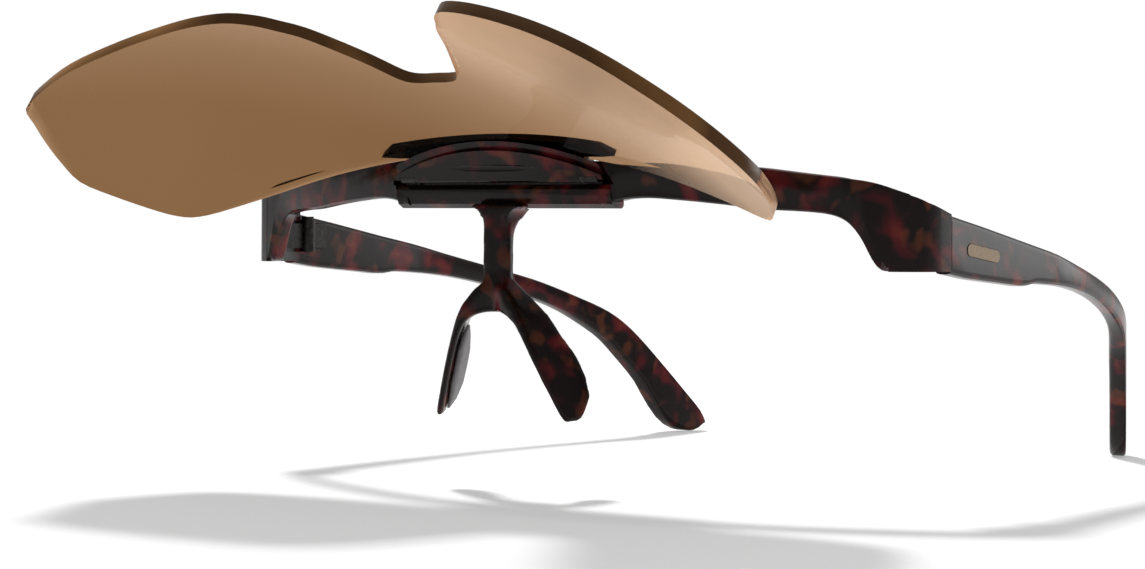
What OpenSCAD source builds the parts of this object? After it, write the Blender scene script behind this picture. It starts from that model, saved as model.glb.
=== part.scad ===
/* [Lens] */
// Width of the one-piece lens across its outer tips
lens_w = 137; // [130:1:144]
// Reach of the lens from its centre line to the free long edge
lens_reach = 38.6; // [35:0.1:42]
// Thickness of the lens
lens_t = 2; // [1.6:0.1:2.4]
// Radius of the inner face of the spherical lens
lens_r = 128.6; // [115:0.1:150]
// Angle of the raised lens above the horizontal
lens_lift = 34; // [30:1:38]
// Height of the nose notch's crown above the lens centre line
notch_crown = 11; // [9:0.5:13]
// Width of the tab that the lens is clamped by
tab_w = 31; // [26:1:34]

/* [Flip hinge] */
// Diameter of the flip hinge's pin
flip_pin_d = 0.8; // [0.7:0.05:0.9]
// Outer diameter of the flip hinge's barrels
flip_barrel_d = 1.8; // [1.7:0.05:1.9]
// Length of the carrier's barrel
flip_barrel_l = 34.2; // [30:0.2:35]
// Thickness of each friction washer
washer_t = 0.25; // [0.2:0.05:0.3]
// Length of each fixed barrel
fixed_barrel_l = 3.1; // [2.6:0.1:3.2]
// Width of the lens carrier at its foot
carrier_w = 43.8; // [43:0.1:44]
// Thickness of the clamp over the lens
clamp_t = 1.3; // [1:0.1:1.6]
// Distance between the two clamp screws
screw_gap = 18; // [14:1:22]
// Diameter of the clamp screws
screw_d = 1; // [0.8:0.1:1.2]

/* [Brow bar] */
// Radius of the brow bar's front in plan
bar_r = 138; // [125:1:150]
// Thickness of the brow bar from front to back
bar_t = 3.8; // [3.2:0.1:4.4]
// Depth of the sloping seat under the crease
seat_depth = 0.9; // [0.6:0.1:1.2]
// Width of the centre block that the lens hinges on
block_w = 45; // [44:0.5:46]
// Width of the frame across its end pieces
frame_w = 142.4; // [138:0.2:148]
// Distance from the hinge line back to the temple joint
end_back = 25.3; // [23:0.1:28]
// Height of the underside of the end pieces below the flip axis
end_drop = 14.9; // [14:0.1:16]

/* [Nose] */
// Width of the nose post
post_w = 5.2; // [4:0.1:6]
// Height of the foot of the nose post below the flip axis
post_foot = 17.5; // [16:0.1:19]
// Splay of the nose arms towards the face
arm_splay = 23; // [16:1:28]
// Thickness of each rubber nose pad
pad_t = 1.1; // [0.8:0.1:1.4]

/* [Temples] */
// Thickness of the temples
temple_t = 3.2; // [2.8:0.1:3.6]
// Gap between each end piece and its temple
joint_gap = 0.15; // [0.1:0.05:0.25]
// Outer diameter of the temple hinge barrels
hinge_barrel_d = 2.9; // [2.6:0.1:3]
// Diameter of the temple hinge screws
hinge_screw_d = 1.2; // [1:0.1:1.4]
// Height of each temple hinge over its three barrels
hinge_h = 6; // [5.4:0.1:6.6]
// Length of the plain bar let into each temple's outer face
inlay_l = 11; // [8:0.5:14]

/* [Fits] */
// Radial running clearance of the pins in their bores
pin_clearance = 0.03; // [0.02:0.01:0.05]
// Clearance between parts that turn past each other
turn_clearance = 0.12; // [0.1:0.01:0.15]

/* [Hidden] */
$fn = 96;

frame_colour = "#2b1a16";
lens_colour = "#a07a50";
metal_colour = "#8c8a86";
pad_colour = "#7b7b7c";
inlay_colour = "#b9a27c";

// Smooth curve through [place, value] points, read at one place
function span_of(line, at, i = 0) =
    (i >= len(line) - 2 || at < line[i + 1][0]) ? i : span_of(line, at, i + 1);
function rise_at(line, i) =
    let (a = line[max(i - 1, 0)], b = line[min(i + 1, len(line) - 1)])
    (b[1] - a[1]) / (b[0] - a[0]);
function curve_at(line, at) =
    let (i = span_of(line, at), run = line[i + 1][0] - line[i][0],
         t = min(max((at - line[i][0]) / run, 0), 1),
         rise_a = rise_at(line, i) * run, rise_b = rise_at(line, i + 1) * run)
    line[i][1] * (1 + 2 * t) * (1 - t) * (1 - t) + rise_a * t * (1 - t) * (1 - t)
    + line[i + 1][1] * t * t * (3 - 2 * t) + rise_b * t * t * (t - 1);

// Smooth closed run through plane points, with a few steps in each span
function between(a, b, c, d, t) =
    0.5 * (2 * b + (c - a) * t + (2 * a - 5 * b + 4 * c - d) * t * t
           + (3 * b - a - 3 * c + d) * t * t * t);
function smooth_run(points, steps) =
    [for (i = [0 : len(points) - 2], s = [0 : steps - 1])
        between(points[max(i - 1, 0)], points[i], points[i + 1],
                points[min(i + 2, len(points) - 1)], s / steps)];

// Lens: its frame sits on the raised lens, x across, y back and down, z out of the outer face
lens_y = -8.11;
lens_z = 9.28;
lens_edge = -8.8;
tab_end = -14.4;
side = lens_w / 2;
half_lens = [
    [0, notch_crown], [3.6, notch_crown + 0.1], [6, notch_crown + 1.5], [8.5, notch_crown + 6.3],
    [11.4, lens_reach - 15.6], [14, lens_reach - 10.2], [16.4, lens_reach - 6.9],
    [18.6, lens_reach - 4], [22.3, lens_reach - 1.3], [28.1, lens_reach - 0.1],
    [36, lens_reach], [side - 24.2, lens_reach - 0.2], [side - 16.8, lens_reach - 0.7],
    [side - 10.8, lens_reach - 2.4], [side - 6.7, lens_reach - 4.4],
    [side - 4.7, lens_reach - 8.7], [side - 2.6, lens_reach - 14.2],
    [side - 0.9, lens_reach - 20.3], [side, lens_reach - 26.6],
    [side - 1.6, 5.7], [side - 4.2, -0.6], [side - 6.8, -5], [side - 9.7, -7.3],
    [side - 15.1, -8.5], [side - 23.9, -9.1], [33.8, lens_edge - 0.1], [22.3, lens_edge]];
half_outline = concat(smooth_run(half_lens, 3),
    [[22.3, lens_edge], [tab_w / 2 + 1, lens_edge], [tab_w / 2, lens_edge - 1], [tab_w / 2, tab_end]]);
lens_outline = concat([for (p = half_outline) [p[0], -p[1]]],
    [for (i = [len(half_outline) - 1 : -1 : 1]) [-half_outline[i][0], -half_outline[i][1]]]);

// Flip hinge, on the axis x = 0 line through the drawing's origin
pin_r = flip_pin_d / 2;
barrel_r = flip_barrel_d / 2;
barrel_end = flip_barrel_l / 2;
fixed_from = barrel_end + washer_t + 0.1;
fixed_to = fixed_from + fixed_barrel_l;
face_top = [-2.7, 3.1];
face_in = barrel_r - 0.04;
face_lean = atan2(face_top[1], face_top[0]) + acos(face_in / norm(face_top));
face_foot = face_in * [cos(face_lean), sin(face_lean)];
face_run = (face_top - face_foot) / norm(face_top - face_foot);
lip_step = 0.6;
gasket_h = 1.25;
carrier_body_w = flip_barrel_l - 0.2;
clamp_side = carrier_w / 2 + 2.7;
screw_v = 10;

// Brow bar: [distance from the middle, height] of its top, crease and lower edge
top_line = [[20, 3.2], [24, 2.8], [33.4, 2.7], [38, 2.2], [43.7, 1.7], [47, 1.4],
            [53, 0.6], [59.3, -0.2], [63.4, -0.9], [68.2, -2.6]];
crease_line = [[20, -0.7], [32.4, -0.7], [50.3, -1.9], [55.1, -2.6], [58.5, -3.6], [60.4, -4.6],
               [62, -6.6], [63.1, -9.2], [64.3, -12.3], [65.5, -14.4]];
lower_line = [[17.7, -5.1], [21.4, -4.4], [23.8, -3.7], [28, -3.4], [34.3, -3.8], [40.5, -4.4],
              [47.4, -5.2], [53, -5.5], [57, -6], [59.4, -7.2], [61.4, -9.8], [62.9, -13],
              [63.7, -14.3], [64.6, -14.8], [68, -14.8]];
shoulder_from = 20;
block_top = -1.2;
corner_x = 66.2;
block_from = corner_x - 0.5;
block_proud = 0.05;
wall_from = 17.3;
wall_to = 22.75;
wall_y = 2.5;
wall_t = 1.15;
wall_h = bar_t + 0.15;
edge_round = 0.45;
slope_from = 57;
slope_drop = 2.6;
function end_slope(x) = slope_drop * pow(max(0, x - slope_from) / (66 - slope_from), 2);
function bar_front(x) = bar_r - 1.75 - sqrt(bar_r * bar_r - x * x);

// End pieces and temple hinges
frame_side = frame_w / 2;
joint_y = end_back;
joint_top = -5.8;
joint_low = -15.2;
end_inner = frame_side - 4.8;
pivot_x = frame_side - 5.3;
pivot_y = joint_y + 1.1;
hinge_mid = -10.2;
hinge_r = hinge_barrel_d / 2;
hinge_room_turn = 6;
hinge_pin_r = hinge_screw_d / 2;
knuckle_gap = 0.1;
middle_h = (hinge_h - 2 * knuckle_gap) * 0.36;
outer_h = (hinge_h - 2 * knuckle_gap - middle_h) / 2;
leaf_t = 1;
screw_head_d = 2.3;
screw_head_h = 0.6;

// Temples: [distance back, value] of the outer face, top edge and lower edge
temple_front = joint_y + joint_gap;
temple_end = 134.8;
outer_line = [[25, frame_side], [62, frame_side], [71.5, frame_side - 0.6], [85, frame_side - 2.4],
              [96, frame_side - 4.8], [106, frame_side - 7.7], [115, frame_side - 11.7],
              [124, frame_side - 15.8], [134.8, frame_side - 20.8]];
temple_top = [[25, -5.8], [38, -7.9], [50, -10], [62, -12], [71, -13.9], [85.4, -17], [96, -19.6],
              [106, -23.1], [113, -26.4], [118, -30.3], [125.1, -38], [129.5, -43.1],
              [133.7, -48.1], [134.8, -50]];
temple_low = [[25, -15.3], [32, -16.2], [47, -17.4], [51, -17.7], [55.4, -17.3], [71, -18.4],
              [85.4, -20.9], [101.3, -25.5], [111.2, -31.2], [116, -36.1], [120.6, -41.6],
              [122.9, -45.6], [125.2, -49], [127.4, -51], [129.5, -51.9], [132, -52], [134.8, -50.6]];
inlay_y = 36;
inlay_h = 2;
inlay_depth = 0.5;
inlay_proud = 0.12;

// Nose bridge stations: outer and inner front corners in x and z, front y, depth, splay share
post_front = -1.5;
post_back = 1.4;
arm_stations = [
    [0, -post_foot + 0.3, 0, -22.5, -1.9, 4.4, 0.3],
    [3, -18.2, 1.9, -22.65, -2.9, 4.9, 0.4],
    [5.4, -21.2, 3.7, -23.3, -3.5, 5.8, 0.7],
    [6.7, -23.8, 5.3, -24.6, -3.5, 6.8, 1],
    [7.9, -26.8, 6.7, -27.2, -3.2, 7.8, 1],
    [9.3, -30, 8.1, -30.3, -2.6, 8.9, 1],
    [10.8, -33.4, 9.6, -33.7, -1.8, 8.8, 1],
    [12.2, -36.5, 11, -36.8, -0.9, 7.8, 1],
    [13.3, -39, 12.1, -39.3, -0.2, 5.3, 1],
    [13.9, -40.3, 12.8, -40.5, 0.4, 3.2, 1]];

// Where the worn frame stands when it is put down: on the nose arms and the temple tips
arm_rest = [2.2, -40.6];
tip_rest = [130.2, -52.1];
rest_tilt = atan2(arm_rest[1] - tip_rest[1], tip_rest[0] - arm_rest[0]);
rest_flat = 0.15;
function rested(p) = [p[0] * cos(rest_tilt) - p[1] * sin(rest_tilt),
                      p[0] * sin(rest_tilt) + p[1] * cos(rest_tilt)];
function lens_point(x, v, r) =
    let (n = sqrt(r * r - x * x - v * v) - lens_r)
    [lens_y + v * cos(lens_lift) + n * sin(lens_lift), lens_z - v * sin(lens_lift) + n * cos(lens_lift)];
rest_z = -rested(arm_rest)[1] - rest_flat;
front_y = min([for (p = lens_outline) rested(lens_point(p[0], p[1], lens_r))[0]]);
back_y = rested([temple_end, curve_at(temple_low, temple_end)])[0];
rest_y = -(front_y + back_y) / 2;

module rest() translate([0, rest_y, rest_z]) rotate([rest_tilt, 0, 0]) children();

// Cuts a small flat where a piece stands on the table
module standing() {
    difference() {
        rest() children();
        translate([0, 0, -5]) cube([200, 400, 10], center = true);
    }
}

// Turns a y-z outline into a bar along x
module across(length) {
    rotate([90, 0, 90]) translate([0, 0, -length / 2]) linear_extrude(length) children();
}

module pin_along_x(r, from, to) {
    translate([from, 0, 0]) rotate([0, 90, 0]) cylinder(r = r, h = to - from);
}

// Skin through rings of points, closed at both ends
module skin(rings) {
    n = len(rings[0]);
    last = len(rings) - 1;
    polyhedron(
        points = [for (ring = rings, p = ring) p],
        faces = concat(
            [[for (i = [0 : n - 1]) i]],
            [for (r = [0 : last - 1], i = [0 : n - 1])
                [r * n + (i + 1) % n, r * n + i, (r + 1) * n + i]],
            [for (r = [0 : last - 1], i = [0 : n - 1])
                [r * n + (i + 1) % n, (r + 1) * n + i, (r + 1) * n + (i + 1) % n]],
            [[for (i = [n - 1 : -1 : 0]) last * n + i]]));
}

// Four-cornered ring with its corners rounded by a few points
function rounded_ring(corners, round, steps) =
    [for (i = [0 : 3], s = [0 : steps])
        let (c = corners[i], a = corners[(i + 3) % 4] - c, b = corners[(i + 1) % 4] - c,
             ra = min(round, norm(a) * 0.45), rb = min(round, norm(b) * 0.45),
             p = c + a / norm(a) * ra, q = c + b / norm(b) * rb, t = s / steps)
        p * (1 - t) * (1 - t) + c * 2 * t * (1 - t) + q * t * t];

// Brow bar
function bar_ring(x) =
    let (f = bar_front(x), b = f + bar_t, top = curve_at(top_line, x),
         crease = curve_at(crease_line, x), low = curve_at(lower_line, x), e = edge_round,
         back_top = top - end_slope(x))
    [[x, f + seat_depth, low + e * 0.6], [x, f + seat_depth + e, low],
     [x, b - e, low], [x, b - e * 0.3, low + e * 0.3], [x, b, low + e],
     [x, b, back_top - e], [x, b - e * 0.3, back_top - e * 0.3], [x, b - e, back_top],
     [x, f + e, top], [x, f + e * 0.3, top - e * 0.3], [x, f, top - e], [x, f, crease]];

module bar_half() {
    stations = concat([for (x = [shoulder_from : 1.5 : 56]) x], [for (x = [57 : 0.6 : corner_x]) x]);
    difference() {
        skin([for (x = stations) bar_ring(x)]);
        // The shoulder leans in over the carrier's end
        rotate([90, 0, 0]) linear_extrude(40, center = true)
            polygon([[0, block_top], [block_w / 2 + 0.65, block_top], [block_w / 2 + 0.55, -0.8],
                     [20.15, 3.3], [20.15, 9], [0, 9]]);
        // Room for the closed carrier in front of the block
        across(block_w + 0.3)
            polygon([[-5, 0.1], [1, 0.1], [1, block_top], [0.4, -2], [0.4, -3.6], [-5, -3.6]]);
    }
}

module end_block() {
    intersection() {
        translate([0, 0, -end_drop]) linear_extrude(20) polygon(concat(
            [for (x = [block_from : 0.7 : corner_x]) [x, bar_front(x) - block_proud]],
            smooth_run([[67.6, bar_front(67.6)], [69, bar_front(67.6) + 1.1], [70.2, 18.6],
                        [frame_side - 0.3, 21], [frame_side, joint_y]], 3),
            [[frame_side, joint_y], [end_inner, joint_y], [end_inner, 20.8], [block_from, 18.3]]));
        rotate([90, 0, 0]) linear_extrude(80, center = true) polygon(concat(
            [for (p = top_line) if (p[0] > 50) p], [[80, -3.6], [80, -20], [50, -20]]));
        across(200) polygon([[0, 5], [14, 1], [15.6, -1.6], [16.75, -2.9], [19.1, -4],
            [joint_y, joint_top], [joint_y + 5, joint_top], [joint_y + 5, joint_low],
            [0, joint_low]]);
    }
}

module hinge_room() {
    translate([pivot_x, pivot_y, hinge_mid - 12]) rotate([0, 0, hinge_room_turn])
        cylinder(r = hinge_r + turn_clearance, h = 24);
}

module bar_block() {
    across(block_w) polygon([[0.95, block_top], [0.4, -2], [0.4, -3.05], [1, -4.4], [2.2, -5.1],
                             [3.7, -5.1], [4.2, -4.6], [4.2, block_top]]);
}

// Wall that closes the pocket behind the hinge barrels
module pocket_wall() {
    translate([wall_from, wall_y, block_top - 0.1]) cube([wall_to - wall_from, wall_t, wall_h]);
}

module brow_bar() {
    color(frame_colour) rest() difference() {
        union() {
            bar_block();
            for (s = [0, 1]) mirror([s, 0, 0]) {
                bar_half();
                pocket_wall();
                end_block();
            }
        }
        for (s = [0, 1]) mirror([s, 0, 0]) {
            hinge_room();
            leaf_seat_front();
        }
        base_strip(0);
    }
}

// Nose bridge
function arm_ring(s) =
    let (n = [s[0] - s[2], s[1] - s[3]] / norm([s[0] - s[2], s[1] - s[3]]),
         back = s[5] * cos(arm_splay * s[6]), out = s[5] * sin(arm_splay * s[6]))
    rounded_ring([[s[2] + n[0] * out, s[4] + back, s[3] + n[1] * out],
                  [s[0] + n[0] * out, s[4] + back, s[1] + n[1] * out],
                  [s[0], s[4], s[1]], [s[2], s[4] + 0.5, s[3]]], 0.45, 2);

module arm() skin([for (s = arm_stations) arm_ring(s)]);

module nose_bridge() {
    half = post_w / 2;
    color(frame_colour) standing() {
        union() {
            for (s = [0, 1]) mirror([s, 0, 0]) arm();
            intersection() {
                across(post_w + 6) polygon([[post_front - 0.5, -post_foot - 2], [post_front, -post_foot],
                    [post_front, -4.9], [-1, -4.4], [1, -4.4], [2.2, -5.1], [3.7, -5.1], [3.7, -6],
                    [post_back, -9.5], [post_back, -post_foot - 2]]);
                rotate([90, 0, 0]) linear_extrude(20, center = true) polygon(concat(
                    [[half, -post_foot - 2]],
                    [for (a = [180 : -15 : 90]) [half + 2.2 + 2.2 * cos(a), -7.2 + 2.2 * sin(a) - 0.05]],
                    [[half + 2.2, -4.2], [-half - 2.2, -4.2]],
                    [for (a = [90 : 15 : 180]) [-half - 2.2 - 2.2 * cos(a), -7.2 + 2.2 * sin(a) - 0.05]],
                    [[-half, -post_foot - 2]]));
            }
        }
    }
}

// Nose pads: leaves on the arms' inner faces
pad_stations = [[0.0, 0.2], [0.12, 0.7], [0.3, 1], [0.5, 1], [0.7, 1], [0.88, 0.7], [1, 0.2]];
pad_top = -24.6;
pad_low = -39.2;
function arm_value(z, k) = curve_at([for (i = [0 : len(arm_stations) - 1])
    [-arm_stations[i][3], arm_stations[i][k]]], -z);
function pad_ring(s) =
    let (z = pad_top + (pad_low - pad_top) * s[0],
         x0 = arm_value(z, 2), y0 = arm_value(z, 4) + 0.5, depth = arm_value(z, 5),
         x1 = x0 + depth * sin(arm_splay), y1 = arm_value(z, 4) + depth * cos(arm_splay),
         run = [x1 - x0, y1 - y0] / norm([x1 - x0, y1 - y0]), inward = [-run[1], run[0]],
         mid = norm([x1 - x0, y1 - y0]) * 0.6, half = norm([x1 - x0, y1 - y0]) * 0.34 * s[1],
         p = [x0, y0] + run * (mid - half) + inward * 0.02,
         q = [x0, y0] + run * (mid + half) + inward * 0.02, thick = inward * pad_t * sqrt(s[1]))
    rounded_ring([[p[0] + thick[0], p[1] + thick[1], z], [q[0] + thick[0], q[1] + thick[1], z],
                  [q[0], q[1], z], [p[0], p[1], z]], 0.5, 3);

module nose_pad() color(pad_colour) rest() skin([for (s = pad_stations) pad_ring(s)]);
module nose_pad_right() nose_pad();
module nose_pad_left() mirror([1, 0, 0]) nose_pad();

// Flip hinge
module base_strip(grow) {
    translate([-fixed_to, 1.3 - grow, block_top - 0.7])
        cube([2 * fixed_to, 1.9 + 2 * grow, 1.05]);
}

module flip_hinge_base() {
    color(metal_colour) rest() difference() {
        union() {
            base_strip(0);
            for (s = [0, 1]) mirror([s, 0, 0]) {
                pin_along_x(barrel_r, fixed_from, fixed_to);
                translate([fixed_from, 0, 0]) rotate([90, 0, 90]) linear_extrude(fixed_to - fixed_from)
                    polygon([[0, 0], [0.6, -0.67], [1.05, block_top], [2.4, block_top],
                             [2.4, block_top + 0.3], [1.2, 0.4], [0.3, 0.8]]);
            }
        }
        pin_along_x(pin_r + pin_clearance, -carrier_w, carrier_w);
        for (s = [0, 1]) mirror([s, 0, 0])
            pin_along_x(barrel_r + turn_clearance, -1, fixed_from);
    }
}

module flip_pin() {
    color(metal_colour) rest() pin_along_x(pin_r, -fixed_to - 0.6, fixed_to + 0.6);
}

module friction_washer() {
    color(pad_colour) rest() difference() {
        pin_along_x(barrel_r - 0.05, barrel_end + 0.05, barrel_end + 0.05 + washer_t);
        pin_along_x(pin_r + pin_clearance, 0, 30);
    }
}
module friction_washer_right() friction_washer();
module friction_washer_left() mirror([1, 0, 0]) friction_washer();

module lens_place() translate([0, lens_y, lens_z]) rotate([-lens_lift, 0, 0]) children();
module lens_ball(r) lens_place() translate([0, 0, -lens_r]) sphere(r = r, $fn = 480);

// Places its children on the lens's inner face, across x and back v, square to the face
module on_lens(x, v) {
    lens_place() translate([0, 0, -lens_r]) rotate([-asin(v / lens_r), 0, 0])
        rotate([0, asin(x / lens_r), 0]) translate([0, 0, lens_r]) children();
}

module carrier_blank() {
    intersection() {
        union() {
            across(carrier_w) polygon([face_foot, face_top + face_run * 6, [4, 9], [4, -0.1],
                                       [1.5, -0.15], [0, 0]]);
            pin_along_x(barrel_r, -barrel_end, barrel_end);
        }
        lens_ball(lens_r - 0.02);
    }
}

module lens_carrier() {
    half = carrier_w / 2;
    color(frame_colour) rest() difference() {
        carrier_blank();
        // Shadow step between the face and the lens
        difference() {
            across(60) polygon([face_foot + [-6, -6], face_foot + [lip_step, lip_step * 0.7],
                                face_top + face_run * 9 + [lip_step, lip_step * 0.7], [-20, 12]]);
            lens_ball(lens_r - gasket_h);
        }
        for (s = [0, 1]) mirror([s, 0, 0]) {
            // Slanted end, and the thin wing that closes the face off in front of the shoulder
            rotate([90, 0, 0]) linear_extrude(40, center = true)
                polygon([[half + 0.04, -3], [half - 0.05, -0.8], [half - 1, 3.1], [half - 2.4, 8],
                         [40, 8], [40, -3]]);
            translate([carrier_body_w / 2, 0, 0]) rotate([90, 0, 90]) linear_extrude(10)
                polygon([[-0.15, -3], [-0.15, 1.1], [-0.9, 9], [8, 9], [8, -3]]);
            pin_along_x(barrel_r + turn_clearance, barrel_end, fixed_to + 0.15);
            on_lens(screw_gap / 2, screw_v) translate([0, 0, -1.9]) cylinder(d = screw_d + 0.04, h = 3);
        }
        pin_along_x(pin_r + pin_clearance, -carrier_w, carrier_w);
        // Shallow eye-shaped scoop along the face
        rotate([face_lean - 90, 0, 0]) translate([0, 2.2, 0]) scoop();
    }
}

scoop_l = 32;
scoop_r = 0.9;
scoop_lift = 0.55;
module scoop() {
    swing = (scoop_l * scoop_l / 4 - scoop_r * scoop_r) / (2 * scoop_r);
    translate([0, 0, barrel_r + scoop_lift]) rotate([0, 90, 0]) rotate_extrude($fn = 48)
        polygon(concat([[0, -scoop_l / 2]],
            [for (i = [1 : 15]) let (x = scoop_l * (i / 16 - 0.5))
                [sqrt((swing + scoop_r) * (swing + scoop_r) - x * x) - swing, x]],
            [[0, scoop_l / 2]]));
}

module lens() {
    color(lens_colour, 0.8) rest() difference() {
        intersection() {
            lens_ball(lens_r + lens_t);
            lens_place() translate([0, 0, -side]) linear_extrude(lens_w) polygon(lens_outline);
        }
        lens_ball(lens_r);
        for (s = [-1, 1]) on_lens(s * screw_gap / 2, screw_v)
            translate([0, 0, -1]) cylinder(d = screw_d + 0.3, h = lens_t + 2);
    }
}

module lens_clamp() {
    half = tab_w / 2;
    color(frame_colour) rest() difference() {
        union() {
            intersection() {
                lens_ball(lens_r + lens_t + clamp_t);
                lens_place() translate([0, 0, -tab_w]) linear_extrude(2 * tab_w) polygon([
                    [-clamp_side, 9], [-clamp_side + 2.6, 7.5], [clamp_side - 2.6, 7.5], [clamp_side, 9],
                    [clamp_side - 3.2, 9.8], [half + 1.4, 10.4], [half + 0.6, 16.2],
                    [-half - 0.6, 16.2], [-half - 1.4, 10.4], [-clamp_side + 3.2, 9.8]]);
            }
        }
        // Seat of the lens and its tab, open to the front
        intersection() {
            lens_ball(lens_r + lens_t + 0.02);
            lens_place() translate([0, 0, -30]) linear_extrude(60)
                translate([-40, -20]) square([80, 20 - tab_end + 0.05]);
        }
        lens_place() translate([-40, 0, -40 - 0.9]) cube([80, 40, 40]);
        for (s = [-1, 1]) on_lens(s * screw_gap / 2, screw_v) {
            cylinder(d = screw_d + 0.2, h = 9);
            translate([0, 0, lens_t + clamp_t - 0.5]) cylinder(d = 2.4, h = 6);
        }
    }
}

module clamp_screw() {
    color(metal_colour) rest() on_lens(screw_gap / 2, screw_v) difference() {
        union() {
            translate([0, 0, -1.7]) cylinder(d = screw_d, h = 1.7 + lens_t + clamp_t - 0.4);
            translate([0, 0, lens_t + clamp_t - 0.5]) cylinder(d = 2.1, h = 0.7);
        }
        translate([0, 0, lens_t + clamp_t + 0.2]) cube([3, 0.35, 0.7], center = true);
    }
}
module clamp_screw_right() clamp_screw();
module clamp_screw_left() mirror([1, 0, 0]) clamp_screw();

// Temples
function temple_ring(y) =
    let (x = curve_at(outer_line, y), top = curve_at(temple_top, y), low = curve_at(temple_low, y),
         lean = (curve_at(outer_line, y + 0.5) - curve_at(outer_line, y - 0.5)),
         t = temple_t * sqrt(1 + lean * lean),
         end_in = y > temple_end - 2 ? 0.6 * (y - temple_end + 2) / 2 : 0)
    rounded_ring([[x - t + end_in, y, low], [x - t + end_in, y, top],
                  [x - end_in, y, top], [x - end_in, y, low]], 1.1, 3);

module temple_body() {
    stations = concat([temple_front], [for (y = [28 : 3 : 109]) y], [for (y = [111 : 1.6 : 131.8]) y],
        [133, 133.8, 134.4, temple_end]);
    skin([for (y = stations) temple_ring(y)]);
}

module inlay_shape(grow, from, to) {
    translate([from, inlay_y, curve_at(temple_top, inlay_y) * 0.5 + curve_at(temple_low, inlay_y) * 0.5])
        rotate([-7, 0, 0]) rotate([0, 90, 0]) linear_extrude(to - from)
            union() {
                square([inlay_h + 2 * grow, inlay_l - inlay_h], center = true);
                for (e = [-1, 1]) translate([0, e * (inlay_l - inlay_h) / 2])
                    circle(d = inlay_h + 2 * grow);
            }
}

module temple() {
    color(frame_colour) standing() difference() {
        temple_body();
        inlay_shape(0.03, frame_side - inlay_depth, frame_side + 2);
        leaf_seat_temple();
    }
}
module temple_right() temple();
module temple_left() mirror([1, 0, 0]) temple();

module temple_inlay() {
    color(inlay_colour) rest() inlay_shape(0, frame_side - inlay_depth, frame_side + inlay_proud);
}
module temple_inlay_right() temple_inlay();
module temple_inlay_left() mirror([1, 0, 0]) temple_inlay();

// Temple hinges
front_leaf_l = 5.6;
temple_leaf_l = 6.5;
leaf_h = 4.6;
module front_leaf_plate(grow) {
    translate([end_inner - leaf_t + 0.4 - grow, pivot_y - 0.6 - front_leaf_l, hinge_mid - leaf_h / 2 - grow])
        cube([leaf_t + grow, front_leaf_l + 0.6, leaf_h + 2 * grow]);
}
module leaf_seat_front() front_leaf_plate(0.02);

module knuckle(from, h) translate([pivot_x, pivot_y, from]) cylinder(r = hinge_r, h = h);
module hinge_bore() {
    translate([pivot_x, pivot_y, hinge_mid - 12]) cylinder(r = hinge_pin_r + pin_clearance, h = 24);
}

module front_hinge_leaf() {
    color(metal_colour) rest() difference() {
        union() {
            front_leaf_plate(0);
            knuckle(hinge_mid - hinge_h / 2, outer_h);
            knuckle(hinge_mid + hinge_h / 2 - outer_h, outer_h);
            for (z = [hinge_mid - hinge_h / 2, hinge_mid + hinge_h / 2 - outer_h])
                translate([pivot_x - 0.1, pivot_y - 1.4, z]) cube([0.6, 1.4, outer_h]);
        }
        translate([pivot_x, pivot_y, hinge_mid - middle_h / 2 - knuckle_gap])
            cylinder(r = hinge_r + turn_clearance, h = middle_h + 2 * knuckle_gap);
        hinge_bore();
    }
}
module front_hinge_leaf_right() front_hinge_leaf();
module front_hinge_leaf_left() mirror([1, 0, 0]) front_hinge_leaf();

temple_inner = frame_side - temple_t;
module temple_leaf_plate(grow) {
    translate([temple_inner - leaf_t + 0.5 - grow, pivot_y + 0.6, hinge_mid - leaf_h / 2 - grow])
        cube([leaf_t + grow, temple_leaf_l, leaf_h + 2 * grow]);
}
module leaf_seat_temple() temple_leaf_plate(0.02);

module temple_hinge_leaf() {
    color(metal_colour) rest() difference() {
        union() {
            temple_leaf_plate(0);
            knuckle(hinge_mid - middle_h / 2, middle_h);
            translate([pivot_x, pivot_y - 0.3, hinge_mid - middle_h / 2])
                cube([temple_inner - pivot_x - 0.02, 1.7, middle_h]);
        }
        hinge_bore();
    }
}
module temple_hinge_leaf_right() temple_hinge_leaf();
module temple_hinge_leaf_left() mirror([1, 0, 0]) temple_hinge_leaf();

module hinge_screw() {
    color(metal_colour) rest() translate([pivot_x, pivot_y, 0]) difference() {
        union() {
            translate([0, 0, hinge_mid - hinge_h / 2 - 0.1]) cylinder(r = hinge_pin_r, h = hinge_h + 0.3);
            translate([0, 0, hinge_mid + hinge_h / 2]) cylinder(d = screw_head_d, h = screw_head_h);
        }
        translate([0, 0, hinge_mid + hinge_h / 2 + screw_head_h])
            cube([screw_head_d * 1.3, 0.35, 0.6], center = true);
    }
}
module hinge_screw_right() hinge_screw();
module hinge_screw_left() mirror([1, 0, 0]) hinge_screw();

brow_bar();
nose_bridge();
nose_pad_left();
nose_pad_right();
flip_hinge_base();
flip_pin();
friction_washer_left();
friction_washer_right();
lens_carrier();
lens();
lens_clamp();
clamp_screw_left();
clamp_screw_right();
temple_left();
temple_right();
temple_inlay_left();
temple_inlay_right();
front_hinge_leaf_left();
front_hinge_leaf_right();
temple_hinge_leaf_left();
temple_hinge_leaf_right();
hinge_screw_left();
hinge_screw_right();
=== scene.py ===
from math import radians, sqrt

import bmesh
import bpy
from mathutils import Matrix, Quaternion, Vector


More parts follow.
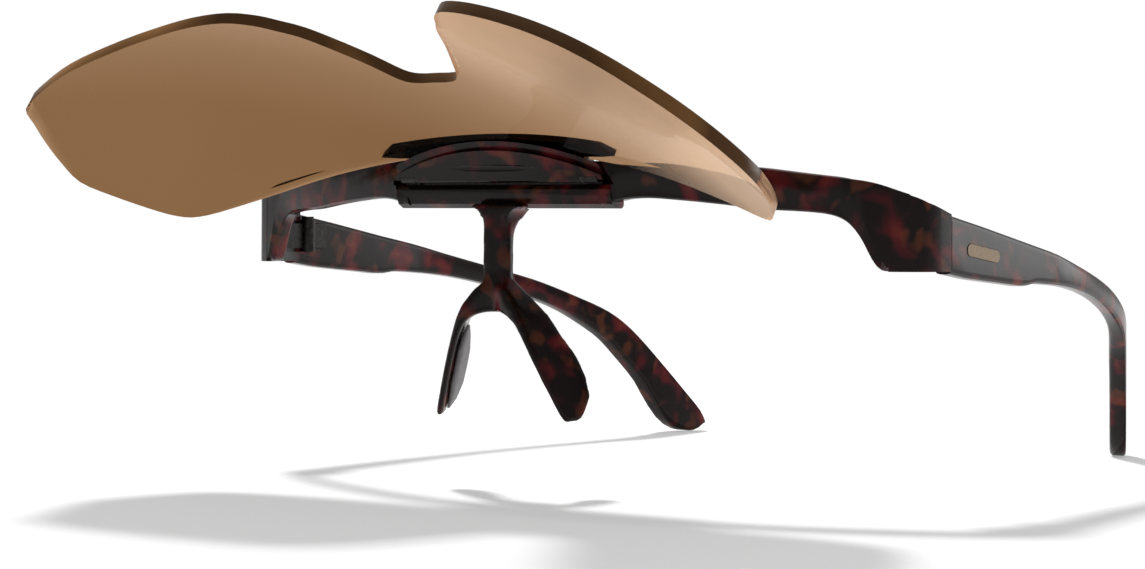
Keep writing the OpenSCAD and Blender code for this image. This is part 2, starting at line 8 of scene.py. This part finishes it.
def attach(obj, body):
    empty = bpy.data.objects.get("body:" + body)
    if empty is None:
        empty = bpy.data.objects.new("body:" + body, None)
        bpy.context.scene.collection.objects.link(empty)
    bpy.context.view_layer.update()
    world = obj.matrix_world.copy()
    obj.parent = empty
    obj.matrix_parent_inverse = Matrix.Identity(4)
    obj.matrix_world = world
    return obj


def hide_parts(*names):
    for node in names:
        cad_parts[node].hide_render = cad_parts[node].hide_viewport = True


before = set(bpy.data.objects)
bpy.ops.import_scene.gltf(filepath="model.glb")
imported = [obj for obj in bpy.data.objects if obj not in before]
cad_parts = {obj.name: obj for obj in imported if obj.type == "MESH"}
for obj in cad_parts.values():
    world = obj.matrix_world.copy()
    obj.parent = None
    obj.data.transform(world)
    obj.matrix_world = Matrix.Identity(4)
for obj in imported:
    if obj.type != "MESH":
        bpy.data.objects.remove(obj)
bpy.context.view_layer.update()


# Brow bar: the half-rim front with its centre block and both end pieces, injection moulded in one shot of
# dark tortoise nylon and tumbled, so every edge is slightly eased and the surface has a soft gloss.
def linear(code):
    """Turns a paint code such as 6b1518 into the shader's linear colour."""
    parts = [int(code[i:i + 2], 16) / 255 for i in (0, 2, 4)]
    return [*(p / 12.92 if p < 0.04045 else ((p + 0.055) / 1.055) ** 2.4 for p in parts), 1]


def new_node(tree, kind, **sockets):
    made = tree.nodes.new(kind)
    for name, value in sockets.items():
        made.inputs[name.replace("_", " ")].default_value = value
    return made


def two_tones(tree, low, high, start=0.3, stop=0.7):
    """A ramp between two paint codes."""
    made = tree.nodes.new("ShaderNodeValToRGB")
    ends = made.color_ramp.elements
    ends[0].position, ends[0].color = start, linear(low)
    ends[1].position, ends[1].color = stop, linear(high)
    return made


def tortoise_pattern():
    """Node group: drifting blotches of deep red and amber in a near-black brown."""
    tree = bpy.data.node_groups.new("tortoise_pattern", "ShaderNodeTree")
    tree.interface.new_socket("Color", in_out="OUTPUT", socket_type="NodeSocketColor")
    place = new_node(tree, "ShaderNodeTexCoord")
    drift = new_node(tree, "ShaderNodeTexNoise", Scale=120, Detail=2, Roughness=0.5)
    drift_reach = 0.007
    shift = tree.nodes.new("ShaderNodeVectorMath")
    shift.operation = "MULTIPLY_ADD"
    shift.inputs[1].default_value = (drift_reach, drift_reach, drift_reach)
    red = new_node(tree, "ShaderNodeTexNoise", Scale=190, Detail=1.5, Roughness=0.42)
    red_ramp = two_tones(tree, "140b0a", "5e1f1a", start=0.49, stop=0.74)
    for spot, code in ((0.53, "1f0d0d"), (0.575, "320d11"), (0.66, "501317")):
        red_ramp.color_ramp.elements.new(spot).color = linear(code)
    amber = new_node(tree, "ShaderNodeTexNoise", Scale=240, Detail=1, Roughness=0.4)
    amber_ramp = two_tones(tree, "000000", "ffffff", start=0.6, stop=0.7)
    amber_share = 0.2
    weak = tree.nodes.new("ShaderNodeMath")
    weak.operation = "MULTIPLY"
    weak.inputs[1].default_value = amber_share
    mix = tree.nodes.new("ShaderNodeMix")
    mix.data_type = "RGBA"
    mix.inputs["B"].default_value = linear("8f4a2a")
    out = tree.nodes.new("NodeGroupOutput")
    link = tree.links.new
    link(place.outputs["Object"], drift.inputs["Vector"])
    link(drift.outputs["Color"], shift.inputs[0])
    link(place.outputs["Object"], shift.inputs[2])
    link(shift.outputs[0], red.inputs["Vector"])
    link(shift.outputs[0], amber.inputs["Vector"])
    link(red.outputs[0], red_ramp.inputs[0])
    link(amber.outputs[0], amber_ramp.inputs[0])
    link(amber_ramp.outputs[0], weak.inputs[0])
    link(weak.outputs[0], mix.inputs["Factor"])
    link(red_ramp.outputs[0], mix.inputs["A"])
    link(mix.outputs["Result"], out.inputs["Color"])
    return tree


pattern = tortoise_pattern()


def new_material(name):
    made = bpy.data.materials.new(name)
    made.use_nodes = True
    return made, made.node_tree, made.node_tree.nodes["Principled BSDF"]


tortoise, tree, shader = new_material("tortoise")
shader.inputs["Roughness"].default_value = 0.2
shader.inputs["IOR"].default_value = 1.5
shader.inputs["Specular IOR Level"].default_value = 0.16
blotches = tree.nodes.new("ShaderNodeGroup")
blotches.node_tree = pattern
grain_place = tree.nodes.new("ShaderNodeTexCoord")
grain = new_node(tree, "ShaderNodeTexNoise", Scale=2600, Detail=2)
grain_bump = new_node(tree, "ShaderNodeBump", Strength=0.05, Distance=0.0001)
tree.links.new(blotches.outputs["Color"], shader.inputs["Base Color"])
tree.links.new(grain_place.outputs["Object"], grain.inputs["Vector"])
tree.links.new(grain.outputs[0], grain_bump.inputs["Height"])
tree.links.new(grain_bump.outputs[0], shader.inputs["Normal"])


def moulded(node, body, finish, edge=0.00018, fold=30, tip_round=0):
    """Stands a merged copy of a CAD piece in its place, its sharp edges rounded off, and its tip more so."""
    tip_length = 0.006
    crease = radians(38)
    form = bmesh.new()
    form.from_mesh(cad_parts[node].data)
    bmesh.ops.remove_doubles(form, verts=form.verts, dist=2e-6)
    bmesh.ops.dissolve_limit(form, angle_limit=radians(0.5), verts=form.verts, edges=form.edges)
    if tip_round:
        far = max(v.co.y for v in form.verts) - tip_length
        ending = [e for e in form.edges if min(v.co.y for v in e.verts) > far
                  and len(e.link_faces) == 2 and e.calc_face_angle(0) > radians(fold)]
        bmesh.ops.bevel(form, geom=ending, offset=tip_round, segments=5, profile=0.5, affect="EDGES",
                        material=-1, clamp_overlap=True)
    sharp = [e for e in form.edges if len(e.link_faces) == 2 and e.calc_face_angle(0) > radians(fold)]
    bmesh.ops.bevel(form, geom=sharp, offset=edge, segments=2, profile=0.5, affect="EDGES",
                    material=-1, clamp_overlap=True)
    mesh = bpy.data.meshes.new(node + "_body")
    form.to_mesh(mesh)
    form.free()
    mesh.polygons.foreach_set("use_smooth", [True] * len(mesh.polygons))
    mesh.set_sharp_from_angle(angle=crease)
    piece = bpy.data.objects.new(node + "_body", mesh)
    bpy.context.scene.collection.objects.link(piece)
    mesh.materials.append(finish)
    even = piece.modifiers.new("even_faces", "WEIGHTED_NORMAL")
    even.keep_sharp = True
    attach(piece, body)
    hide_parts(node)
    return piece


moulded("brow_bar", "frame", tortoise)

# Nose bridge: the post, saddle and two splayed arms, moulded in the same tortoise nylon and welded under
# the centre block.
def softened(node, body, finish, grid, passes, below):
    """As moulded, but remeshed finely and smoothed under a height, for forms with no straight edges."""
    piece = moulded(node, body, finish, edge=0.0001)
    piece.modifiers.clear()
    remesh = piece.modifiers.new("remesh", "REMESH")
    remesh.mode = "VOXEL"
    remesh.voxel_size = grid
    fine = bpy.data.meshes.new_from_object(piece.evaluated_get(bpy.context.evaluated_depsgraph_get()))
    piece.modifiers.clear()
    form = bmesh.new()
    form.from_mesh(fine)
    loose = [v for v in form.verts if v.co.z < below]
    for _ in range(passes):
        bmesh.ops.smooth_vert(form, verts=loose, factor=0.5,
                              use_axis_x=True, use_axis_y=True, use_axis_z=True)
    form.to_mesh(piece.data)
    form.free()
    bpy.data.meshes.remove(fine)
    piece.data.polygons.foreach_set("use_smooth", [True] * len(piece.data.polygons))
    return piece


softened("nose_bridge", "frame", tortoise, grid=0.0003, passes=30, below=0.0335)

# Nose pads: soft matt grey rubber, moulded over the inner side of each arm, slightly mottled and with a
# faint grain to the skin.
pad_rubber, tree, shader = new_material("pad_rubber")
shader.inputs["Roughness"].default_value = 0.62
mottle_place = tree.nodes.new("ShaderNodeTexCoord")
mottle = new_node(tree, "ShaderNodeTexNoise", Scale=900, Detail=4)
greys = two_tones(tree, "6c6a6b", "7c797a")
skin_bump = new_node(tree, "ShaderNodeBump", Strength=0.12, Distance=0.0001)
tree.links.new(mottle_place.outputs["Object"], mottle.inputs["Vector"])
tree.links.new(mottle.outputs[0], greys.inputs[0])
tree.links.new(greys.outputs[0], shader.inputs["Base Color"])
tree.links.new(mottle.outputs[0], skin_bump.inputs["Height"])
tree.links.new(skin_bump.outputs[0], shader.inputs["Normal"])
for side in ("left", "right"):
    softened("nose_pad_" + side, "frame", pad_rubber, grid=0.0002, passes=6, below=1)

# Flip hinge: a dark steel strip with two rolled barrels let into the block, a ground pin through all three
# barrels, and a nylon friction washer at each end of the carrier's barrel.
def metal(name, low, high, roughness):
    made, tree, shader = new_material(name)
    shader.inputs["Metallic"].default_value = 1
    place = tree.nodes.new("ShaderNodeTexCoord")
    marks = new_node(tree, "ShaderNodeTexNoise", Scale=1500, Detail=3)
    tones = two_tones(tree, low, high)
    dull = tree.nodes.new("ShaderNodeMapRange")
    dull.inputs["To Min"].default_value = roughness - 0.05
    dull.inputs["To Max"].default_value = roughness + 0.07
    tree.links.new(place.outputs["Object"], marks.inputs["Vector"])
    tree.links.new(marks.outputs[0], tones.inputs[0])
    tree.links.new(tones.outputs[0], shader.inputs["Base Color"])
    tree.links.new(marks.outputs[0], dull.inputs["Value"])
    tree.links.new(dull.outputs[0], shader.inputs["Roughness"])
    return made


def finish_node(node, material):
    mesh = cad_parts[node].data
    mesh.materials.clear()
    mesh.materials.append(material)


hinge_steel = metal("hinge_steel", "2b2928", "3c3938", 0.4)
for node in ("flip_hinge_base", "flip_pin"):
    finish_node(node, hinge_steel)
washer_nylon, tree, shader = new_material("washer_nylon")
shader.inputs["Roughness"].default_value = 0.5
cloud_place = tree.nodes.new("ShaderNodeTexCoord")
cloud = new_node(tree, "ShaderNodeTexNoise", Scale=1200, Detail=2)
darks = two_tones(tree, "1c1a19", "2c2927", start=0, stop=1)
tree.links.new(cloud_place.outputs["Object"], cloud.inputs["Vector"])
tree.links.new(cloud.outputs[0], darks.inputs[0])
tree.links.new(darks.outputs[0], shader.inputs["Base Color"])
for side in ("left", "right"):
    finish_node("friction_washer_" + side, washer_nylon)

# Lens carrier: the tortoise moulding that turns on the pin and holds the lens, with a slanted face and an
# eye-shaped scoop, and the clamp that sits over the lens.
moulded("lens_carrier", "visor", tortoise, edge=0.00015)
moulded("lens_clamp", "visor", tortoise, edge=0.0002)

# Lens: one spherical shield of brown tinted polycarbonate, 2 mm thick, with a polished edge. Its tint is deep
# seen square on and is mixed to a pale tint to the side, a painted reflection, with a soft glossy sheen at a
# glancing view.
lens_tint, tree, shader = new_material("lens_tint")
shader.inputs["Roughness"].default_value = 0
lens_ior = 1.06
shader.inputs["IOR"].default_value = lens_ior
shader.inputs["Transmission Weight"].default_value = 1
haze_place = tree.nodes.new("ShaderNodeTexCoord")
haze = new_node(tree, "ShaderNodeTexNoise", Scale=22, Detail=1)
tints = two_tones(tree, "846140", "8a6745")
tree.links.new(haze_place.outputs["Object"], haze.inputs["Vector"])
tree.links.new(haze.outputs[0], tints.inputs[0])
slant = new_node(tree, "ShaderNodeLayerWeight", Blend=0.5)
leaving = tree.nodes.new("ShaderNodeNewGeometry")
painted_reflection_by_side = tree.nodes.new("ShaderNodeMix")
tree.links.new(leaving.outputs["Backfacing"], painted_reflection_by_side.inputs["Factor"])
painted_reflection_stops = ((0.44, 0), (0.53, 0.12), (0.6, 0.3), (0.655, 0.54), (0.69, 0.7), (0.75, 0.91), (0.84, 1))
# The pale tint is painted reflection, mixed in by how glancing the view is. A ray meets the far surface at a
# smaller angle than the near one, so that surface has its stops lower.
for socket, bend in (("A", 1), ("B", lens_ior)):
    painted_reflection_ramp = tree.nodes.new("ShaderNodeValToRGB")
    painted_reflection_ramp.color_ramp.elements.remove(painted_reflection_ramp.color_ramp.elements[0])
    first = painted_reflection_ramp.color_ramp.elements[0]
    for spot, tone in painted_reflection_stops:
        inside = 1 - sqrt(1 - (1 - (1 - spot) ** 2) / bend ** 2)
        stop = first if tone == 0 else painted_reflection_ramp.color_ramp.elements.new(inside)
        stop.position, stop.color = inside, (tone, tone, tone, 1)
    tree.links.new(slant.outputs["Facing"], painted_reflection_ramp.inputs[0])
    tree.links.new(painted_reflection_ramp.outputs[0], painted_reflection_by_side.inputs[socket])
# The pale d6b292 mixed over the tint at glancing views is a painted reflection.
tint_and_painted_reflection = tree.nodes.new("ShaderNodeMix")
tint_and_painted_reflection.data_type = "RGBA"
tint_and_painted_reflection.inputs["B"].default_value = linear("d6b292")
tree.links.new(painted_reflection_by_side.outputs[0], tint_and_painted_reflection.inputs["Factor"])
tree.links.new(tints.outputs[0], tint_and_painted_reflection.inputs["A"])
tree.links.new(tint_and_painted_reflection.outputs["Result"], shader.inputs["Base Color"])
shade_ray = tree.nodes.new("ShaderNodeLightPath")
clear = new_node(tree, "ShaderNodeBsdfTransparent", Color=(0.3, 0.3, 0.3, 1))
grazing = new_node(tree, "ShaderNodeMapRange", From_Min=0.62, From_Max=0.78, To_Min=0, To_Max=0.6)
sheen = new_node(tree, "ShaderNodeBsdfAnisotropic", Color=linear("e6c4a4"), Roughness=0.35)
sheeny = tree.nodes.new("ShaderNodeMixShader")
tree.links.new(slant.outputs["Facing"], grazing.inputs["Value"])
tree.links.new(grazing.outputs[0], sheeny.inputs[0])
tree.links.new(shader.outputs[0], sheeny.inputs[1])
tree.links.new(sheen.outputs[0], sheeny.inputs[2])
blend = tree.nodes.new("ShaderNodeMixShader")
unseen = tree.nodes.new("ShaderNodeMath")
unseen.operation = "MAXIMUM"
tree.links.new(shade_ray.outputs["Is Shadow Ray"], unseen.inputs[0])
tree.links.new(shade_ray.outputs["Is Diffuse Ray"], unseen.inputs[1])
tree.links.new(unseen.outputs[0], blend.inputs[0])
tree.links.new(sheeny.outputs[0], blend.inputs[1])
tree.links.new(clear.outputs[0], blend.inputs[2])
tree.links.new(blend.outputs[0], tree.nodes["Material Output"].inputs["Surface"])
lens = moulded("lens", "visor", lens_tint, edge=0.0003, fold=50)
lens_r = 0.1286
lens_thick = 0.002
rest_tilt = Matrix.Rotation(radians(5.13388), 3, "X")
pin_place = Vector((0, -0.0442057, 0.0400903))
lens_middle = Vector((0, -0.00811, 0.00928))
lens_up = Vector((0, 0.5592, 0.829))
ball_centre = rest_tilt @ (lens_middle - lens_up * lens_r) + pin_place
lens_rim, tree, shader = new_material("lens_rim")
shader.inputs["Roughness"].default_value = 0.22
shader.inputs["Specular IOR Level"].default_value = 0.15
band_place = tree.nodes.new("ShaderNodeTexCoord")
band = new_node(tree, "ShaderNodeTexNoise", Scale=45, Detail=1)
browns = two_tones(tree, "4a2f14", "9a6c3c", start=0.42, stop=0.68)
tree.links.new(band_place.outputs["Object"], band.inputs["Vector"])
tree.links.new(band.outputs[0], browns.inputs[0])
tree.links.new(browns.outputs[0], shader.inputs["Base Color"])
lens.data.materials.append(lens_rim)
edge_on, square_on = 0.9, 0.97
right_rim, left_rim = 0.15, -0.5
shell_slack = 0.00004
corner_normals = []
for face in lens.data.polygons:
    out_of_ball = (face.center - ball_centre).normalized()
    rim_limit = right_rim if face.normal.x > 0 else left_rim
    if abs(face.normal.dot(out_of_ball)) < edge_on and face.normal.y < rim_limit:
        face.material_index = 1
    for corner in face.vertices:
        away = lens.data.vertices[corner].co - ball_centre
        on_inner = abs(away.length - lens_r) < shell_slack
        on_outer = abs(away.length - lens_r - lens_thick) < shell_slack
        square = abs(face.normal.dot(away.normalized())) > square_on
        if square and (on_inner or on_outer):
            corner_normals.append(away.normalized() * (1 if face.normal.dot(away) > 0 else -1))
        else:
            corner_normals.append(Vector((0, 0, 0)))
lens.modifiers.clear()
lens.data.normals_split_custom_set(corner_normals)

# Clamp screws: two small steel screws from below through carrier, lens and clamp, with flat turned heads in
# the satin finish of the flip hinge.
for side in ("left", "right"):
    finish_node("clamp_screw_" + side, hinge_steel)

# Temples: injection moulded tortoise nylon, straight to the ear and curving down and in to the tip, with a
# plain satin inlay bar let into the outer face.
inlay_gold = metal("inlay_gold", "6e5f4e", "80705c", 0.42)
for side in ("left", "right"):
    moulded("temple_" + side, side + "_temple", tortoise, edge=0.00025, tip_round=0.0012)
    finish_node("temple_inlay_" + side, inlay_gold)

# Temple hinges: dark steel leaves moulded into end piece and temple, joined by a screw through the
# knuckles.
for side in ("left", "right"):
    for node in ("front_hinge_leaf_", "temple_hinge_leaf_", "hinge_screw_"):
        finish_node(node + side, hinge_steel)

# Floor: a pale sheet level with the camera, which touches the two temple tips.
floor_tilt = radians(5.13)
tip_line = Vector((0, 0.0904, 0))
sheet_drop = Vector((0, 0, 0.0002))
floor_form = bmesh.new()
bmesh.ops.create_grid(floor_form, x_segments=1, y_segments=1, size=1.6)
bmesh.ops.rotate(floor_form, verts=floor_form.verts, matrix=Matrix.Rotation(floor_tilt, 3, "X"))
bmesh.ops.translate(floor_form, verts=floor_form.verts, vec=tip_line - sheet_drop)
floor_mesh = bpy.data.meshes.new("floor")
floor_form.to_mesh(floor_mesh)
floor_form.free()
floor = bpy.data.objects.new("floor", floor_mesh)
bpy.context.scene.collection.objects.link(floor)
floor_white, tree, shader = new_material("floor_white")
shader.inputs["Base Color"].default_value = (0.9, 0.9, 0.9, 1)
shader.inputs["Roughness"].default_value = 0.9
shader.inputs["Specular IOR Level"].default_value = 0.1
ray = tree.nodes.new("ShaderNodeLightPath")
side_seen = tree.nodes.new("ShaderNodeNewGeometry")
glow = new_node(tree, "ShaderNodeEmission", Color=(1, 1, 1, 1), Strength=1)
sheet_place = tree.nodes.new("ShaderNodeTexCoord")
away = tree.nodes.new("ShaderNodeVectorMath")
away.operation = "LENGTH"
fade = new_node(tree, "ShaderNodeMapRange", From_Min=0.22, From_Max=0.45, To_Min=0.33, To_Max=1)
mirror_ray = tree.nodes.new("ShaderNodeMath")
mirror_ray.operation = "MAXIMUM"
glass_ray = tree.nodes.new("ShaderNodeMath")
glass_ray.operation = "MAXIMUM"
partly = tree.nodes.new("ShaderNodeMath")
partly.operation = "MULTIPLY"
tree.links.new(sheet_place.outputs["Object"], away.inputs[0])
tree.links.new(away.outputs["Value"], fade.inputs["Value"])
tree.links.new(ray.outputs["Is Camera Ray"], mirror_ray.inputs[0])
tree.links.new(ray.outputs["Is Glossy Ray"], mirror_ray.inputs[1])
tree.links.new(mirror_ray.outputs[0], glass_ray.inputs[0])
tree.links.new(ray.outputs["Is Transmission Ray"], glass_ray.inputs[1])
tree.links.new(glass_ray.outputs[0], partly.inputs[0])
tree.links.new(fade.outputs[0], partly.inputs[1])
pale = tree.nodes.new("ShaderNodeMixShader")
open_back = new_node(tree, "ShaderNodeBsdfTransparent")
through = tree.nodes.new("ShaderNodeMixShader")
tree.links.new(partly.outputs[0], pale.inputs[0])
tree.links.new(shader.outputs[0], pale.inputs[1])
tree.links.new(glow.outputs[0], pale.inputs[2])
tree.links.new(side_seen.outputs["Backfacing"], through.inputs[0])
tree.links.new(pale.outputs[0], through.inputs[1])
tree.links.new(open_back.outputs[0], through.inputs[2])
tree.links.new(through.outputs[0], tree.nodes["Material Output"].inputs["Surface"])
floor_mesh.materials.append(floor_white)

# Backdrop: white to the camera and through the lens, and a plain soft light otherwise. A small lamp overhead
# draws the shadows, a wide one lights the sides, and one more shows only as a gleam on the right temple.
world = bpy.data.worlds.new("studio")
bpy.context.scene.world = world
world.use_nodes = True
tree = world.node_tree
plain_light = tree.nodes["Background"]
plain_light.inputs["Strength"].default_value = 0.4
white_back = new_node(tree, "ShaderNodeBackground", Color=(1, 1, 1, 1), Strength=1)
sight = tree.nodes.new("ShaderNodeLightPath")
seen = tree.nodes.new("ShaderNodeMath")
seen.operation = "MAXIMUM"
backs = tree.nodes.new("ShaderNodeMixShader")
plain_light.inputs["Color"].default_value = (1, 1, 1, 1)
tree.links.new(sight.outputs["Is Camera Ray"], seen.inputs[0])
tree.links.new(sight.outputs["Is Transmission Ray"], seen.inputs[1])
tree.links.new(seen.outputs[0], backs.inputs[0])
tree.links.new(plain_light.outputs[0], backs.inputs[1])
tree.links.new(white_back.outputs[0], backs.inputs[2])
tree.links.new(backs.outputs[0], tree.nodes["World Output"].inputs["Surface"])


def softbox(name, place, target, width, depth, power):
    lamp = bpy.data.lights.new(name, "AREA")
    lamp.shape = "RECTANGLE"
    lamp.size, lamp.size_y, lamp.energy = width, depth, power
    held = bpy.data.objects.new(name, lamp)
    held.location = place
    held.rotation_mode = "QUATERNION"
    held.rotation_quaternion = (Vector(target) - Vector(place)).to_track_quat("-Z", "Y")
    bpy.context.scene.collection.objects.link(held)
    return held


overhead = softbox("overhead", place=(-0.53, 0.25, 0.9), target=(0, 0, 0.03),
                   width=0.12, depth=0.12, power=13)
overhead.visible_glossy = False
side_light = softbox("side", place=(0.92, 0.72, 0.22), target=(0, 0, 0.03), width=1.25, depth=0.6, power=4.8)
side_light.visible_glossy = False
gleam = softbox("gleam", place=(0.56, 1.1, 0.2), target=(0.04, 0, 0.03), width=0.52, depth=0.6, power=2.7)
gleam.visible_diffuse = False

# Camera: level in the photograph's own frame, which the resting glasses lean back from.
photo_w, photo_h = 1145, 569
lens_px = 2775
middle_px = (561.3, 221.5)
roll = radians(0.3)
camera_data = bpy.data.cameras.new("camera")
camera_data.sensor_width = 36
camera_data.lens = lens_px / photo_w * camera_data.sensor_width
camera_data.shift_x = (photo_w / 2 - middle_px[0]) / photo_w
camera_data.shift_y = (middle_px[1] - photo_h / 2) / photo_w
camera_data.clip_start = 0.01
camera = bpy.data.objects.new("camera", camera_data)
bpy.context.scene.collection.objects.link(camera)
look = Vector((-0.5941, 0.8008, 0.0719)).normalized()
up = Vector((0, -0.0895, 0.996))
right = look.cross(up).normalized()
up = right.cross(look)
turn = Matrix((right, up, -look)).transposed().to_quaternion()
camera.rotation_mode = "QUATERNION"
camera.rotation_quaternion = turn @ Quaternion((0, 0, 1), roll)
camera.location = (0.2828, -0.4073, 0.0002)
bpy.context.scene.camera = camera

bpy.context.scene.view_settings.view_transform = "Standard"
